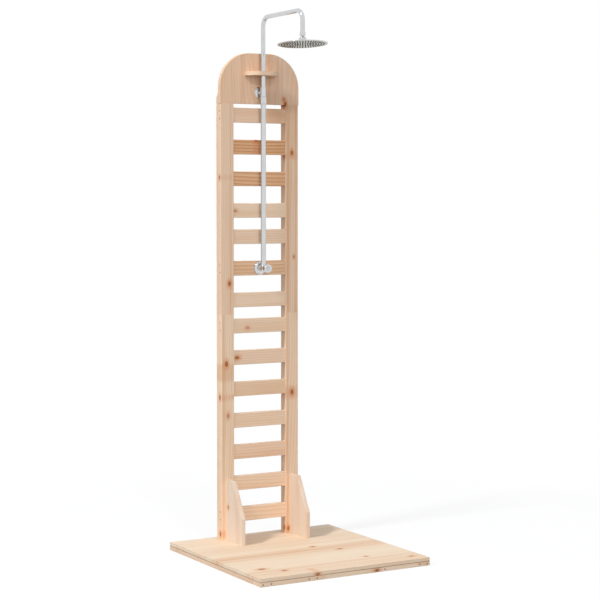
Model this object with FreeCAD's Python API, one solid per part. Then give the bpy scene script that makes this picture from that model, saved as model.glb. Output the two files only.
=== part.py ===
import FreeCAD
import Part
import math
import os

# Outdoor shower post: a pine slatted panel on a square deck, with a chrome column
# that carries a bent arm and a round rain head.
# Millimetres. X runs across the panel, Y runs backwards, Z runs up. The origin is the
# centre of the deck's underside.

Vector = FreeCAD.Vector
RIGHT = Vector(1, 0, 0)
BACK = Vector(0, 1, 0)
FRONT = Vector(0, -1, 0)
UP = Vector(0, 0, 1)

# ---------------------------------------------------------------- driving sizes
# deck
deck_width = 756.0
deck_board_widths = (179.0, 263.0, 263.0, 67.0)
deck_board_thickness = 16.0
frame_thickness = 16.0
frame_bar_width = 58.0
frame_joint_gap = 1.2
edge_ease = 1.5
deck_edge_ease = 1.0
deck_joint_ease = 0.25

# panel
panel_width = 363.0
post_width = 60.0
post_depth = 40.0
post_rear_margin = 39.0
post_joint_height = 929.5
rung_height = 60.0
rung_thickness = 18.0
rung_setback = 2.0
rung_pitch = 130.0
rung_close_pitch = 107.5
rung_group_counts = (7, 3, 4)
lowest_rung_height = 101.0
tenon_length = 15.0
tenon_height = 46.0
tenon_thickness = 11.0
glue_gap = 0.15

# head board and its shelf
board_rise = 16.6
board_height = 207.4
board_width = 369.0
board_thickness = 18.0
board_corner_radius = 140.0
lap_height = 50.0
lap_bevel_drop = 27.0
shelf_width = 140.0
shelf_depth = 65.0
shelf_thickness = 16.0
shelf_corner_radius = 50.0
shelf_rise = 115.0
shelf_pipe_gap = 1.5

# gussets
gusset_thickness = 18.0
gusset_depth = 136.0
gusset_top_depth = 58.0
gusset_height = 250.0
gusset_nose_height = 107.0

# wood screws and the tenons that join the posts
screw_sides = 5
screw_head_radius = 4.2
screw_head_height = 3.0
screw_shank_radius = 2.3
screw_hole_gap = 0.1
rung_screw_length = 90.0
rung_screw_offset = 16.0
screwed_rung_numbers = (1, 6, 8, 14)
frame_screw_length = 100.0
frame_screw_offset = 17.5
stand_screw_length = 70.0
head_screw_length = 35.0
head_screw_offset = 15.0
head_screw_rise = 11.0
shelf_screw_offset = 45.0
gusset_screw_rises = (60.0, 190.0)
gusset_foot_inset = 107.0
foot_screw_inset = 10.0
joint_tenon_width = 36.0
joint_tenon_thickness = 12.0
joint_tenon_length = 44.0

# column
pipe_standoff = 29.0
riser_radius = 11.0
riser_wall = 1.2
pipe_radius = 9.5
pipe_wall = 1.0
pipe_insertion = 273.0
running_gap = 0.05
turning_gap = 0.1
seat_gap = 0.3
overcut = 1.0
touching = 0.01
turned_sides = 16
trim_ease = 0.8

# valve
rung_count_above_valve = 5
valve_body_radius = 13.5
valve_body_length = 48.0
valve_boss_radius = 12.6
valve_boss_height = 16.0
riser_socket_floor = 9.0
water_way_radius = 7.0
inlet_thread_radius = 10.48
inlet_thread_length = 28.0
thread_chamfer = 1.0
cartridge_radius = 9.0
cartridge_depth = 12.0
cartridge_neck_radius = 6.5
cartridge_neck_length = 13.0
spindle_radius = 3.0
knob_radius = 17.5
knob_thickness = 13.0
knob_edge = 2.5
knob_gap = 1.0
knob_web = 1.5
knob_cap_radius = 7.5
knob_cap_recess = 3.0
knob_cap_sink = 0.4
knob_cap_dish_radius = 5.0
knob_cap_dish_depth = 0.6
rosette_radius = 29.0
rosette_height = 12.0
rosette_shoulder_height = 9.0
rosette_wall = 1.5
rosette_rim = 2.0
locknut_across_flats = 27.0
locknut_thickness = 8.0
locknut_sides = 6

# riser lock nut, gland and bracket
lock_nut_drop = 9.6
lock_nut_radius = 14.0
lock_nut_height = 38.0
lock_nut_taper = 9.0
lock_nut_lip = 3.0
lock_nut_foot = 0.6
riser_end_in_nut = 18.0
gland_radius = 12.2
sleeve_radius = 11.5
sleeve_height = 37.7
stem_radius = 7.5
flange_radius = 25.0
flange_shoulder_radius = 15.0
flange_height = 7.0
flange_rim = 2.0
bolt_sides = 12
bolt_radius = 3.0
bolt_head_radius = 6.0
bolt_head_height = 4.0
bolt_engagement = 13.0

# arm
arm_rise = 145.0
arm_reach = 322.0
arm_bend_radius = 41.0
bend_steps = 6
pipe_sides = 16
guide_head_height = 14.0
guide_spigot_length = 20.0
guide_bore_radius = 5.5

# swivel and head, heights from the centre of the ball
ball_drop = 114.0
ball_radius = 8.5
ball_bands = 5
ball_tip_angle = 0.25
cone_angle = math.radians(45)
neck_radius = 5.0
ball_flange_radius = 9.0
ball_flange_thickness = 3.0
arm_nut_radius = 11.8
arm_nut_bottom = 11.0
arm_nut_lip = 2.0
arm_nut_height = 17.0
collar_radius = 15.5
collar_top = 7.5
collar_top_radius = 10.0
throat_gap = 2.4
collar_shoulder = 4.5
collar_bottom = -5.2
hub_radius = 15.0
hub_thread_radius = 12.5
hub_thread_top = 2.5
hub_cavity_radius = 9.3
hub_floor = -9.0
hub_water_radius = 5.0
head_radius = 100.0
head_underside = -21.5
head_rim_height = 3.5
head_sides = 32
head_wall = 1.6
head_root_height = -12.0
face_radius = 98.0
face_ledge_radius = 95.0
face_thickness = 2.0
face_fit_gap = 0.2
nozzle_rings = 4
nozzle_ring_spacing = 21.0
nozzle_ring_step = 6
nozzle_root_radius = 2.3
nozzle_tip_radius = 1.5
nozzle_length = 1.9
nozzle_sides = 5
head_tilt = 4.0

# ---------------------------------------------------------------- derived places
deck_depth = sum(deck_board_widths)
deck_top = frame_thickness + deck_board_thickness


def rung_centres():
    """Heights of the rungs' middles above the ground, from the top rung down."""
    height = deck_top + lowest_rung_height
    heights = []
    for group, count in enumerate(rung_group_counts):
        for step in range(count):
            if step > 0:
                height += rung_pitch
            elif group > 0:
                height += rung_close_pitch
            heights.append(height)
    return heights[::-1]


rung_heights = rung_centres()
valve_z = rung_heights[rung_count_above_valve]
deck_front = -deck_depth / 2
deck_rear = deck_depth / 2
post_rear = deck_rear - post_rear_margin
panel_front = post_rear - post_depth
post_centre = panel_width / 2 - post_width / 2
post_inner = panel_width / 2 - post_width
rung_front = panel_front + rung_setback
rung_middle = rung_front + rung_thickness / 2
rung_rear = rung_front + rung_thickness
joint_z = deck_top + post_joint_height
board_bottom = rung_heights[0] + rung_height / 2 + board_rise
board_top = board_bottom + board_height
board_rear = panel_front + board_thickness
lap_top = board_bottom + lap_height
shelf_bottom = board_bottom + shelf_rise
shelf_middle = shelf_bottom + shelf_thickness / 2
pipe_y = panel_front - pipe_standoff
pipe_bore_radius = pipe_radius - pipe_wall
riser_bore_radius = riser_radius - riser_wall
lock_nut_bottom = board_bottom - lock_nut_drop
lock_nut_top = lock_nut_bottom + lock_nut_height
riser_top = lock_nut_bottom + riser_end_in_nut
sleeve_bottom = lock_nut_top + seat_gap
sleeve_top = sleeve_bottom + sleeve_height
bracket_z = (sleeve_bottom + sleeve_top) / 2
pipe_bottom = riser_top - pipe_insertion
arm_z = board_top + arm_rise
drop_y = pipe_y - arm_reach
ball_z = arm_z - ball_drop
nut_lip_top = arm_nut_bottom + arm_nut_lip
ball_flange_bottom = nut_lip_top + seat_gap
ball_flange_top = ball_flange_bottom + ball_flange_thickness
arm_end = ball_z + ball_flange_top + seat_gap
ball_centre = Vector(0, drop_y, ball_z)


# ---------------------------------------------------------------- small helpers
def box(low, high):
    """A box between two corners."""
    size = high - low
    return Part.makeBox(size.x, size.y, size.z, low)


def cylinder(radius, bottom, top):
    """A round cylinder on the Z axis."""
    return Part.makeCylinder(radius, top - bottom, Vector(0, 0, bottom), UP)


def eased_bar(low, high, along, ease):
    """A box whose four long edges, parallel to X, Y or Z, are chamfered."""
    bar = box(low, high)
    long_edges = []
    for edge in bar.Edges:
        start, end = edge.Vertexes[0].Point, edge.Vertexes[1].Point
        if abs((end - start).dot(along)) > touching:
            long_edges.append(edge)
    return bar.makeChamfer(ease, long_edges)


def polygon_face(points):
    return Part.Face(Part.makePolygon(points + [points[0]]))


def ring_of_points(radius, sides, height):
    """Corners of a regular polygon about the Z axis."""
    corners = []
    for index in range(sides):
        angle = 2 * math.pi * (index + 0.5) / sides
        corners.append(Vector(radius * math.cos(angle), radius * math.sin(angle), height))
    return corners


def skin(rings, closed):
    """A solid whose skin joins each ring of corners to the next.

    The last ring joins the first if the rings run round a closed section. If not, the
    first and the last are closed by flat ends.
    """
    faces = []
    if not closed:
        faces = [polygon_face(rings[0]), polygon_face(rings[-1])]
    following = rings[1:] + rings[:1] if closed else rings[1:]
    for ring, other in zip(rings, following):
        for index in range(len(ring)):
            faces.append(polygon_face([ring[index - 1], ring[index],
                                       other[index], other[index - 1]]))
    shell = Part.makeShell(faces)
    shell.sewShape()
    solid = Part.makeSolid(shell)
    if solid.Volume < 0:
        solid.reverse()
    return solid


def turned(profile, sides=turned_sides):
    """A many-sided solid about Z from its (radius, height) outline, with flat ends."""
    return skin([ring_of_points(radius, sides, height) for radius, height in profile], False)


def turned_ring(profile, sides=turned_sides):
    """A many-sided ring about Z from the (radius, height) corners of its section."""
    return skin([ring_of_points(radius, sides, height) for radius, height in profile], True)


def bore(radius, sides=turned_sides):
    """Corner radius of a many-sided bore whose flats lie at the given radius."""
    return radius / math.cos(math.pi / sides)


def tube_profile(inside, outside, bottom, top):
    """Section of a plain tube, its bore's flats at the inside radius."""
    return [(bore(inside), bottom), (outside, bottom), (outside, top), (bore(inside), top)]


def moved(shape, placement):
    copy = shape.copy()
    copy.Placement = placement.multiply(shape.Placement)
    return copy


def placed(shape, origin, direction):
    """The shape with its own Z axis laid along direction and its origin moved."""
    return moved(shape, FreeCAD.Placement(origin, FreeCAD.Rotation(UP, direction)))


def mirrored(shape):
    """The same piece on the other side of the panel's middle."""
    return shape.mirror(Vector(0, 0, 0), RIGHT)


def save(name, *solids):
    shape = solids[0] if len(solids) == 1 else Part.makeCompound(list(solids))
    shape.exportStep("parts/" + name + ".step")


# ---------------------------------------------------------------- wood screws
def screw_shape(length, gap):
    """A countersunk screw pointing down Z, its head's top at the origin, grown by gap."""
    shank = screw_shank_radius + gap
    return turned([
        (shank, -length - gap),
        (shank, -screw_head_height),
        (screw_head_radius + gap, gap),
    ], screw_sides)


def screw_at(length, surface_point, outward):
    """A screw whose head lies flush with the surface, with the hole that it needs."""
    screw = placed(screw_shape(length, 0), surface_point, outward)
    hole = placed(screw_shape(length, screw_hole_gap), surface_point, outward)
    return screw, hole


def rung_screws():
    screws = []
    holes = []
    for number, centre_z in enumerate(rung_heights, 1):
        if number not in screwed_rung_numbers:
            continue
        for side in (-1, 1):
            for shift in (-rung_screw_offset, rung_screw_offset):
                point = Vector(side * panel_width / 2, rung_middle, centre_z + shift)
                screw, hole = screw_at(rung_screw_length, point, RIGHT * side)
                screws.append(screw)
                holes.append(hole)
    return screws, holes


def frame_screws(batten_centres):
    screws = []
    holes = []
    for centre in batten_centres:
        for shift in (-frame_screw_offset, frame_screw_offset):
            for face, outward in ((deck_front, FRONT), (deck_rear, BACK)):
                point = Vector(centre + shift, face, frame_thickness / 2)
                screw, hole = screw_at(frame_screw_length, point, outward)
                screws.append(screw)
                holes.append(hole)
    return screws, holes


def stand_screws():
    """Screws up through the deck into posts and gussets, and forwards into the gussets."""
    screws = []
    holes = []
    foot_places = (post_rear - foot_screw_inset, panel_front + foot_screw_inset,
                   panel_front - gusset_foot_inset)
    for side in (-1, 1):
        for depth in foot_places:
            point = Vector(side * post_centre, depth, 0)
            screw, hole = screw_at(stand_screw_length, point, UP * -1)
            screws.append(screw)
            holes.append(hole)
        for rise in gusset_screw_rises:
            point = Vector(side * post_centre, post_rear, deck_top + rise)
            screw, hole = screw_at(stand_screw_length, point, BACK)
            screws.append(screw)
            holes.append(hole)
    return screws, holes


def head_screws():
    """Screws through the laps into the head board, and through it into the shelf."""
    places = []
    for side in (-1, 1):
        for shift in (-head_screw_offset, head_screw_offset):
            places.append(Vector(side * post_centre + shift, post_rear,
                                 board_bottom + head_screw_rise))
        places.append(Vector(side * shelf_screw_offset, board_rear, shelf_middle))
    screws = []
    holes = []
    for point in places:
        screw, hole = screw_at(head_screw_length, point, BACK)
        screws.append(screw)
        holes.append(hole)
    return screws, holes


def drilled(shape, holes):
    """The shape with every hole that reaches it cut out."""
    reached = [hole for hole in holes if hole.BoundBox.intersect(shape.BoundBox)]
    return shape.cut(reached) if reached else shape


# ---------------------------------------------------------------- deck
def make_deck(holes):
    rear = deck_rear
    for number, width in enumerate(deck_board_widths, 1):
        low = Vector(-deck_width / 2, rear - width, frame_thickness)
        high = Vector(deck_width / 2, rear, deck_top)
        board = eased_bar(low, high, RIGHT, deck_joint_ease)
        save("deck_board_%d" % number, drilled(board, holes))
        rear -= width


def frame_batten_centres():
    outer = deck_width / 2 - frame_bar_width / 2
    return (-outer, -post_centre, post_centre, outer)


def make_frame(holes):
    half = deck_width / 2
    front_inner = deck_front + frame_bar_width
    rear_inner = deck_rear - frame_bar_width
    rails = (("front", deck_front, front_inner), ("rear", rear_inner, deck_rear))
    for name, low_y, high_y in rails:
        low = Vector(-half, low_y, 0)
        high = Vector(half, high_y, frame_thickness)
        rail = eased_bar(low, high, RIGHT, deck_edge_ease)
        save("frame_rail_" + name, drilled(rail, holes))
    for number, centre in enumerate(frame_batten_centres(), 1):
        low = Vector(centre - frame_bar_width / 2, front_inner + frame_joint_gap, 0)
        high = Vector(centre + frame_bar_width / 2, rear_inner - frame_joint_gap,
                      frame_thickness)
        batten = eased_bar(low, high, BACK, deck_edge_ease)
        save("frame_batten_%d" % number, drilled(batten, holes))


# ---------------------------------------------------------------- panel
def tenon_box(centre_z, gap):
    """The tenons of one rung, from end to end, grown by gap."""
    reach = post_inner + tenon_length + gap
    half_depth = tenon_thickness / 2 + gap
    half_height = tenon_height / 2 + gap
    low = Vector(-reach, rung_middle - half_depth, centre_z - half_height)
    high = Vector(reach, rung_middle + half_depth, centre_z + half_height)
    return box(low, high)


def joint_tenon(side, gap):
    """The loose tenon inside one post's joint, grown by gap."""
    half = Vector(joint_tenon_width / 2 + gap, joint_tenon_thickness / 2 + gap,
                  joint_tenon_length / 2 + gap)
    middle = Vector(side * post_centre, (panel_front + post_rear) / 2, joint_z)
    return box(middle - half, middle + half)


def upper_post_end(post):
    """The post's top: its front half is cut away for the board, its rear half bevelled."""
    inner = post_inner - overcut
    outer = panel_width / 2 + overcut
    step = box(Vector(inner, panel_front - overcut, board_bottom),
               Vector(outer, board_rear, lap_top + overcut))
    bevel = polygon_face([
        Vector(inner, board_rear, lap_top),
        Vector(inner, post_rear, lap_top - lap_bevel_drop),
        Vector(inner, post_rear, lap_top + overcut),
        Vector(inner, board_rear, lap_top + overcut),
    ]).extrude(RIGHT * (outer - inner))
    return post.cut([step, bevel])


def make_posts(holes):
    cutters = holes + [joint_tenon(side, glue_gap) for side in (-1, 1)]
    for centre_z in rung_heights:
        cutters.append(tenon_box(centre_z, glue_gap))
    lengths = (("lower", deck_top, joint_z), ("upper", joint_z, lap_top))
    for part, bottom, top in lengths:
        low = Vector(post_inner, panel_front, bottom)
        high = Vector(panel_width / 2, post_rear, top)
        post = eased_bar(low, high, UP, edge_ease)
        if part == "upper":
            post = upper_post_end(post)
        save("post_%s_right" % part, drilled(post, cutters))
        save("post_%s_left" % part, drilled(mirrored(post), cutters))


def make_rungs(holes):
    for number, centre_z in enumerate(rung_heights, 1):
        low = Vector(-post_inner, rung_front, centre_z - rung_height / 2)
        high = Vector(post_inner, rung_rear, centre_z + rung_height / 2)
        rung = eased_bar(low, high, RIGHT, edge_ease).fuse(tenon_box(centre_z, 0))
        rung = drilled(rung, holes)
        if centre_z == valve_z:
            way = bore(inlet_thread_radius + turning_gap)
            hole = turned([(way, -rung_thickness - overcut), (way, overcut)])
            rung = rung.cut(facing_front(hole))
        save("rung_%02d" % number, rung)


def make_head_board(holes):
    half = board_width / 2
    corner = board_corner_radius
    corner_z = board_top - corner
    diagonal = corner * math.sqrt(0.5)
    flat = half - corner
    corners = [
        Part.makeLine(Vector(-half, 0, board_bottom), Vector(half, 0, board_bottom)),
        Part.makeLine(Vector(half, 0, board_bottom), Vector(half, 0, corner_z)),
        Part.Arc(Vector(half, 0, corner_z),
                 Vector(flat + diagonal, 0, corner_z + diagonal),
                 Vector(flat, 0, board_top)).toShape(),
        Part.makeLine(Vector(flat, 0, board_top), Vector(-flat, 0, board_top)),
        Part.Arc(Vector(-flat, 0, board_top),
                 Vector(-flat - diagonal, 0, corner_z + diagonal),
                 Vector(-half, 0, corner_z)).toShape(),
        Part.makeLine(Vector(-half, 0, corner_z), Vector(-half, 0, board_bottom)),
    ]
    outline = Part.Wire(corners)
    outline.translate(Vector(0, panel_front, 0))
    board = Part.Face(outline).extrude(BACK * board_thickness)
    rims = []
    for edge in board.Edges:
        on_front = edge.BoundBox.YMax < panel_front + touching
        if on_front and edge.BoundBox.ZMax > board_bottom + overcut:
            rims.append(edge)
    board = board.makeChamfer(edge_ease, rims)
    way = bore(bolt_radius + seat_gap, bolt_sides)
    bolt_hole = turned([(way, -overcut), (way, board_thickness + overcut)], bolt_sides)
    bolt_hole = placed(bolt_hole, Vector(0, panel_front, bracket_z), BACK)
    save("head_board", drilled(board, holes + [bolt_hole]))


def make_shelf(holes):
    half = shelf_width / 2
    corner = shelf_corner_radius
    front = panel_front - shelf_depth
    flat = half - corner
    diagonal = corner * math.sqrt(0.5)
    wall = panel_front
    corner_y = front + corner
    outline = Part.Wire([
        Part.makeLine(Vector(half, wall, 0), Vector(half, corner_y, 0)),
        Part.Arc(Vector(half, corner_y, 0),
                 Vector(flat + diagonal, corner_y - diagonal, 0),
                 Vector(flat, front, 0)).toShape(),
        Part.makeLine(Vector(flat, front, 0), Vector(-flat, front, 0)),
        Part.Arc(Vector(-flat, front, 0),
                 Vector(-flat - diagonal, corner_y - diagonal, 0),
                 Vector(-half, corner_y, 0)).toShape(),
        Part.makeLine(Vector(-half, corner_y, 0), Vector(-half, wall, 0)),
        Part.makeLine(Vector(-half, wall, 0), Vector(half, wall, 0)),
    ])
    outline.translate(UP * shelf_bottom)
    shelf = Part.Face(outline).extrude(UP * shelf_thickness)
    way = bore(pipe_radius + shelf_pipe_gap)
    pipe_hole = turned([(way, -overcut), (way, shelf_thickness + overcut)])
    save("shelf", drilled(shelf, holes + [on_pipe(pipe_hole, shelf_bottom)]))


def make_gussets(holes):
    left_face = post_centre - gusset_thickness / 2
    toe = panel_front - gusset_depth
    profile = polygon_face([
        Vector(left_face, panel_front, deck_top),
        Vector(left_face, toe, deck_top),
        Vector(left_face, toe, deck_top + gusset_nose_height),
        Vector(left_face, panel_front - gusset_top_depth, deck_top + gusset_height),
        Vector(left_face, panel_front, deck_top + gusset_height),
    ])
    gusset = profile.extrude(RIGHT * gusset_thickness)
    rims = []
    for edge in gusset.Edges:
        bounds = edge.BoundBox
        off_seats = bounds.YMin < panel_front - overcut and bounds.ZMax > deck_top + overcut
        if bounds.XLength < touching and off_seats:
            rims.append(edge)
    gusset = gusset.makeChamfer(deck_edge_ease, rims)
    save("gusset_right", drilled(gusset, holes))
    save("gusset_left", drilled(mirrored(gusset), holes))


# ---------------------------------------------------------------- valve
# Turned pieces of the valve lie along Y: their own Z points out of the rung's front,
# their own Y points up, and their origin is on the rung's front face.
valve_seat = Vector(0, rung_front, valve_z)
riser_station = pipe_standoff + rung_setback
cartridge_floor = valve_body_length - cartridge_depth
knob_back = valve_body_length + cartridge_neck_length + knob_gap
knob_front = knob_back + knob_thickness
inlet_end = -rung_thickness - inlet_thread_length


def facing_front(shape):
    return moved(shape, FreeCAD.Placement(valve_seat, FreeCAD.Rotation(RIGHT, 90)))


def make_valve_body():
    """The body stands out of the rung; its tail goes through it to the threaded inlet."""
    thread_start = -rung_thickness - locknut_thickness
    body = turned([
        (inlet_thread_radius, thread_start),
        (inlet_thread_radius, 0),
        (valve_body_radius, 0),
        (valve_body_radius, valve_body_length - trim_ease),
        (valve_body_radius - trim_ease, valve_body_length),
    ])
    thread = cylinder(inlet_thread_radius, inlet_end, thread_start)
    end_edges = [edge for edge in thread.Edges if edge.BoundBox.ZMax < inlet_end + overcut]
    thread = thread.makeChamfer(thread_chamfer, end_edges)
    way = bore(water_way_radius)
    chamber = bore(cartridge_radius + running_gap)
    socket = bore(riser_radius + running_gap)
    station = Vector(0, 0, riser_station)
    boss = turned([(valve_boss_radius, 0), (valve_boss_radius, valve_boss_height)])
    body = body.multiFuse([thread, placed(boss, station, BACK)]).cut([
        turned([(way, inlet_end - overcut), (way, cartridge_floor)]),
        turned([(chamber, cartridge_floor), (chamber, valve_body_length + overcut)]),
        placed(turned([(way, 0), (way, riser_socket_floor)]), station, BACK),
        placed(turned([(socket, riser_socket_floor),
                       (socket, valve_boss_height + overcut)]), station, BACK),
    ])
    save("valve_body", facing_front(body))


def make_valve_trim():
    inside = bore(valve_body_radius + turning_gap)
    shoulder = (rosette_radius + valve_body_radius) / 2
    rosette = turned_ring([
        (rosette_radius, 0),
        (rosette_radius, rosette_rim),
        (shoulder, rosette_shoulder_height),
        (inside, rosette_height),
        (inside, rosette_height - rosette_wall),
        (shoulder, rosette_shoulder_height - rosette_wall),
        (rosette_radius - rosette_wall, 0),
    ])
    save("valve_rosette", facing_front(rosette))
    nut_corner = bore(locknut_across_flats / 2, locknut_sides)
    nut_rear = -rung_thickness - locknut_thickness
    nut = turned([(nut_corner, nut_rear), (nut_corner, -rung_thickness)], locknut_sides)
    thread_way = bore(inlet_thread_radius + running_gap)
    nut = nut.cut(turned([(thread_way, nut_rear - overcut), (thread_way, overcut)]))
    save("inlet_locknut", facing_front(nut))


def make_valve_control():
    neck_end = valve_body_length + cartridge_neck_length
    inside = bore(spindle_radius + running_gap)
    cartridge = turned_ring([
        (inside, cartridge_floor + seat_gap),
        (cartridge_radius, cartridge_floor + seat_gap),
        (cartridge_radius, valve_body_length),
        (cartridge_neck_radius, valve_body_length),
        (cartridge_neck_radius, neck_end),
        (inside, neck_end),
    ])
    save("valve_cartridge", facing_front(cartridge))
    cap_seat = knob_front - knob_cap_recess
    spindle_end = cap_seat - knob_web
    spindle = cylinder(spindle_radius, cartridge_floor + seat_gap, spindle_end - seat_gap)
    save("valve_spindle", facing_front(spindle))
    recess = bore(knob_cap_radius + turning_gap)
    knob = turned([
        (inside, spindle_end),
        (inside, knob_back),
        (knob_radius - knob_edge, knob_back),
        (knob_radius, knob_back + knob_edge),
        (knob_radius, knob_front - knob_edge),
        (knob_radius - knob_edge, knob_front),
        (recess, knob_front),
        (recess, cap_seat),
    ])
    save("valve_knob", facing_front(knob))
    cap = turned([
        (knob_cap_radius, cap_seat),
        (knob_cap_radius, knob_front - knob_cap_sink),
        (knob_cap_dish_radius, knob_front - knob_cap_sink - knob_cap_dish_depth),
    ])
    save("knob_cap", facing_front(cap))


# ---------------------------------------------------------------- riser and bracket
def on_pipe(shape, height):
    return placed(shape, Vector(0, pipe_y, height), UP)


def make_riser():
    bottom = valve_z + riser_socket_floor
    length = riser_top - bottom
    save("lower_riser", on_pipe(turned_ring(
        tube_profile(riser_bore_radius, riser_radius, 0, length)), bottom))
    clear = bore(riser_radius + turning_gap)
    cavity = bore(gland_radius + turning_gap)
    lip_bottom = lock_nut_height - lock_nut_lip
    nut = turned([
        (clear + lock_nut_foot, 0),
        (lock_nut_radius, lock_nut_taper),
        (lock_nut_radius, lock_nut_height - trim_ease),
        (lock_nut_radius - trim_ease, lock_nut_height),
    ]).cut([
        turned([(clear, -overcut), (clear, riser_end_in_nut)]),
        turned([(cavity, riser_end_in_nut), (cavity, lip_bottom)]),
        cylinder(pipe_radius + turning_gap, lip_bottom, lock_nut_height + overcut),
    ])
    save("lock_nut", on_pipe(nut, lock_nut_bottom))
    gland = tube_profile(pipe_radius + running_gap, gland_radius,
                         riser_end_in_nut, lip_bottom - seat_gap)
    save("gland_ring", on_pipe(turned_ring(gland), lock_nut_bottom))


def make_bracket():
    inside = bore(pipe_radius + turning_gap)
    half = sleeve_height / 2
    eased = sleeve_radius - trim_ease
    sleeve = turned([(eased, -half), (sleeve_radius, trim_ease - half),
                     (sleeve_radius, half - trim_ease), (eased, half)])
    stem = turned([(stem_radius, 0), (stem_radius, pipe_standoff)])
    pipe_way = turned([(inside, -half - overcut), (inside, half + overcut)])
    bolt_bore = bore(bolt_radius + running_gap)
    bolt_way = turned([(bolt_bore, pipe_standoff - bolt_engagement),
                       (bolt_bore, pipe_standoff + overcut)])
    middle = Vector(0, 0, 0)
    sleeve = sleeve.fuse(placed(stem, middle, BACK))
    sleeve = sleeve.cut([pipe_way, placed(bolt_way, middle, BACK)])
    save("bracket_sleeve", on_pipe(sleeve, bracket_z))
    inside = bore(stem_radius + turning_gap)
    flange = turned_ring([
        (inside, 0),
        (flange_radius, 0),
        (flange_radius, flange_rim),
        (flange_shoulder_radius, flange_height),
        (inside, flange_height),
    ])
    save("bracket_flange", placed(flange, Vector(0, panel_front, bracket_z), FRONT))
    bolt = turned([
        (bolt_radius, seat_gap - board_thickness - bolt_engagement),
        (bolt_radius, 0),
        (bolt_head_radius, 0),
        (bolt_head_radius, bolt_head_height),
    ], bolt_sides)
    save("bracket_bolt", placed(bolt, Vector(0, board_rear, bracket_z), BACK))


# ---------------------------------------------------------------- arm
def arm_sections():
    """Where the pipe's sections lie: each place on its centre line, with the way forwards.

    The pipe runs up, bends forwards, and bends down again to the head.
    """
    bend = arm_bend_radius
    sections = [(Vector(0, pipe_y, pipe_bottom), 0)]
    for quarter, centre_y in ((0, pipe_y - bend), (1, drop_y + bend)):
        for step in range(bend_steps + 1):
            turn = 90 * (quarter + step / bend_steps)
            outward = FreeCAD.Rotation(RIGHT, turn).multVec(BACK)
            sections.append((Vector(0, centre_y, arm_z - bend) + outward * bend, turn))
    sections.append((Vector(0, drop_y, arm_end), 180))
    return sections


def bent_rings(radius):
    """Rings of corners of the given radius along the pipe."""
    rings = []
    for place, turn in arm_sections():
        placement = FreeCAD.Placement(place, FreeCAD.Rotation(RIGHT, turn))
        rings.append([placement.multVec(corner)
                      for corner in ring_of_points(radius, pipe_sides, 0)])
    return rings


def make_arm():
    inner = bent_rings(bore(pipe_bore_radius, pipe_sides))
    save("upper_pipe", skin(bent_rings(pipe_radius) + inner[::-1], True))
    head_outside = riser_bore_radius - running_gap
    spigot_outside = pipe_bore_radius - running_gap
    guide = turned([
        (head_outside, -guide_head_height),
        (head_outside, -seat_gap),
        (spigot_outside, -seat_gap),
        (spigot_outside, guide_spigot_length),
    ])
    guide = guide.cut(cylinder(guide_bore_radius, -guide_head_height - overcut,
                               guide_spigot_length + overcut))
    save("guide_bush", on_pipe(guide, pipe_bottom))


# ---------------------------------------------------------------- swivel and head
def at_ball(shape):
    return placed(shape, ball_centre, UP)


def tilted_head(shape):
    return moved(shape, FreeCAD.Placement(ball_centre, FreeCAD.Rotation(RIGHT, -head_tilt)))


def make_swivel():
    nut_top = arm_nut_bottom + arm_nut_height
    inside = bore(pipe_radius + running_gap)
    neck_way = bore(neck_radius + seat_gap)
    nut = turned_ring([
        (neck_way, arm_nut_bottom),
        (arm_nut_radius - trim_ease, arm_nut_bottom),
        (arm_nut_radius, arm_nut_bottom + trim_ease),
        (arm_nut_radius, nut_top),
        (inside, nut_top),
        (inside, nut_lip_top),
        (neck_way, nut_lip_top),
    ])
    save("arm_nut", at_ball(nut))
    neck_angle = math.acos(neck_radius / ball_radius)
    lowest_angle = -math.pi / 2 + ball_tip_angle
    profile = []
    for band in range(ball_bands + 1):
        angle = lowest_angle + (neck_angle - lowest_angle) * band / ball_bands
        profile.append((ball_radius * math.cos(angle), ball_radius * math.sin(angle)))
    neck = cylinder(neck_radius, profile[-1][1], ball_flange_bottom)
    flange = turned([(ball_flange_radius, ball_flange_bottom),
                     (ball_flange_radius, ball_flange_top)])
    save("swivel_ball", at_ball(turned(profile).multiFuse([neck, flange])))


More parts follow.
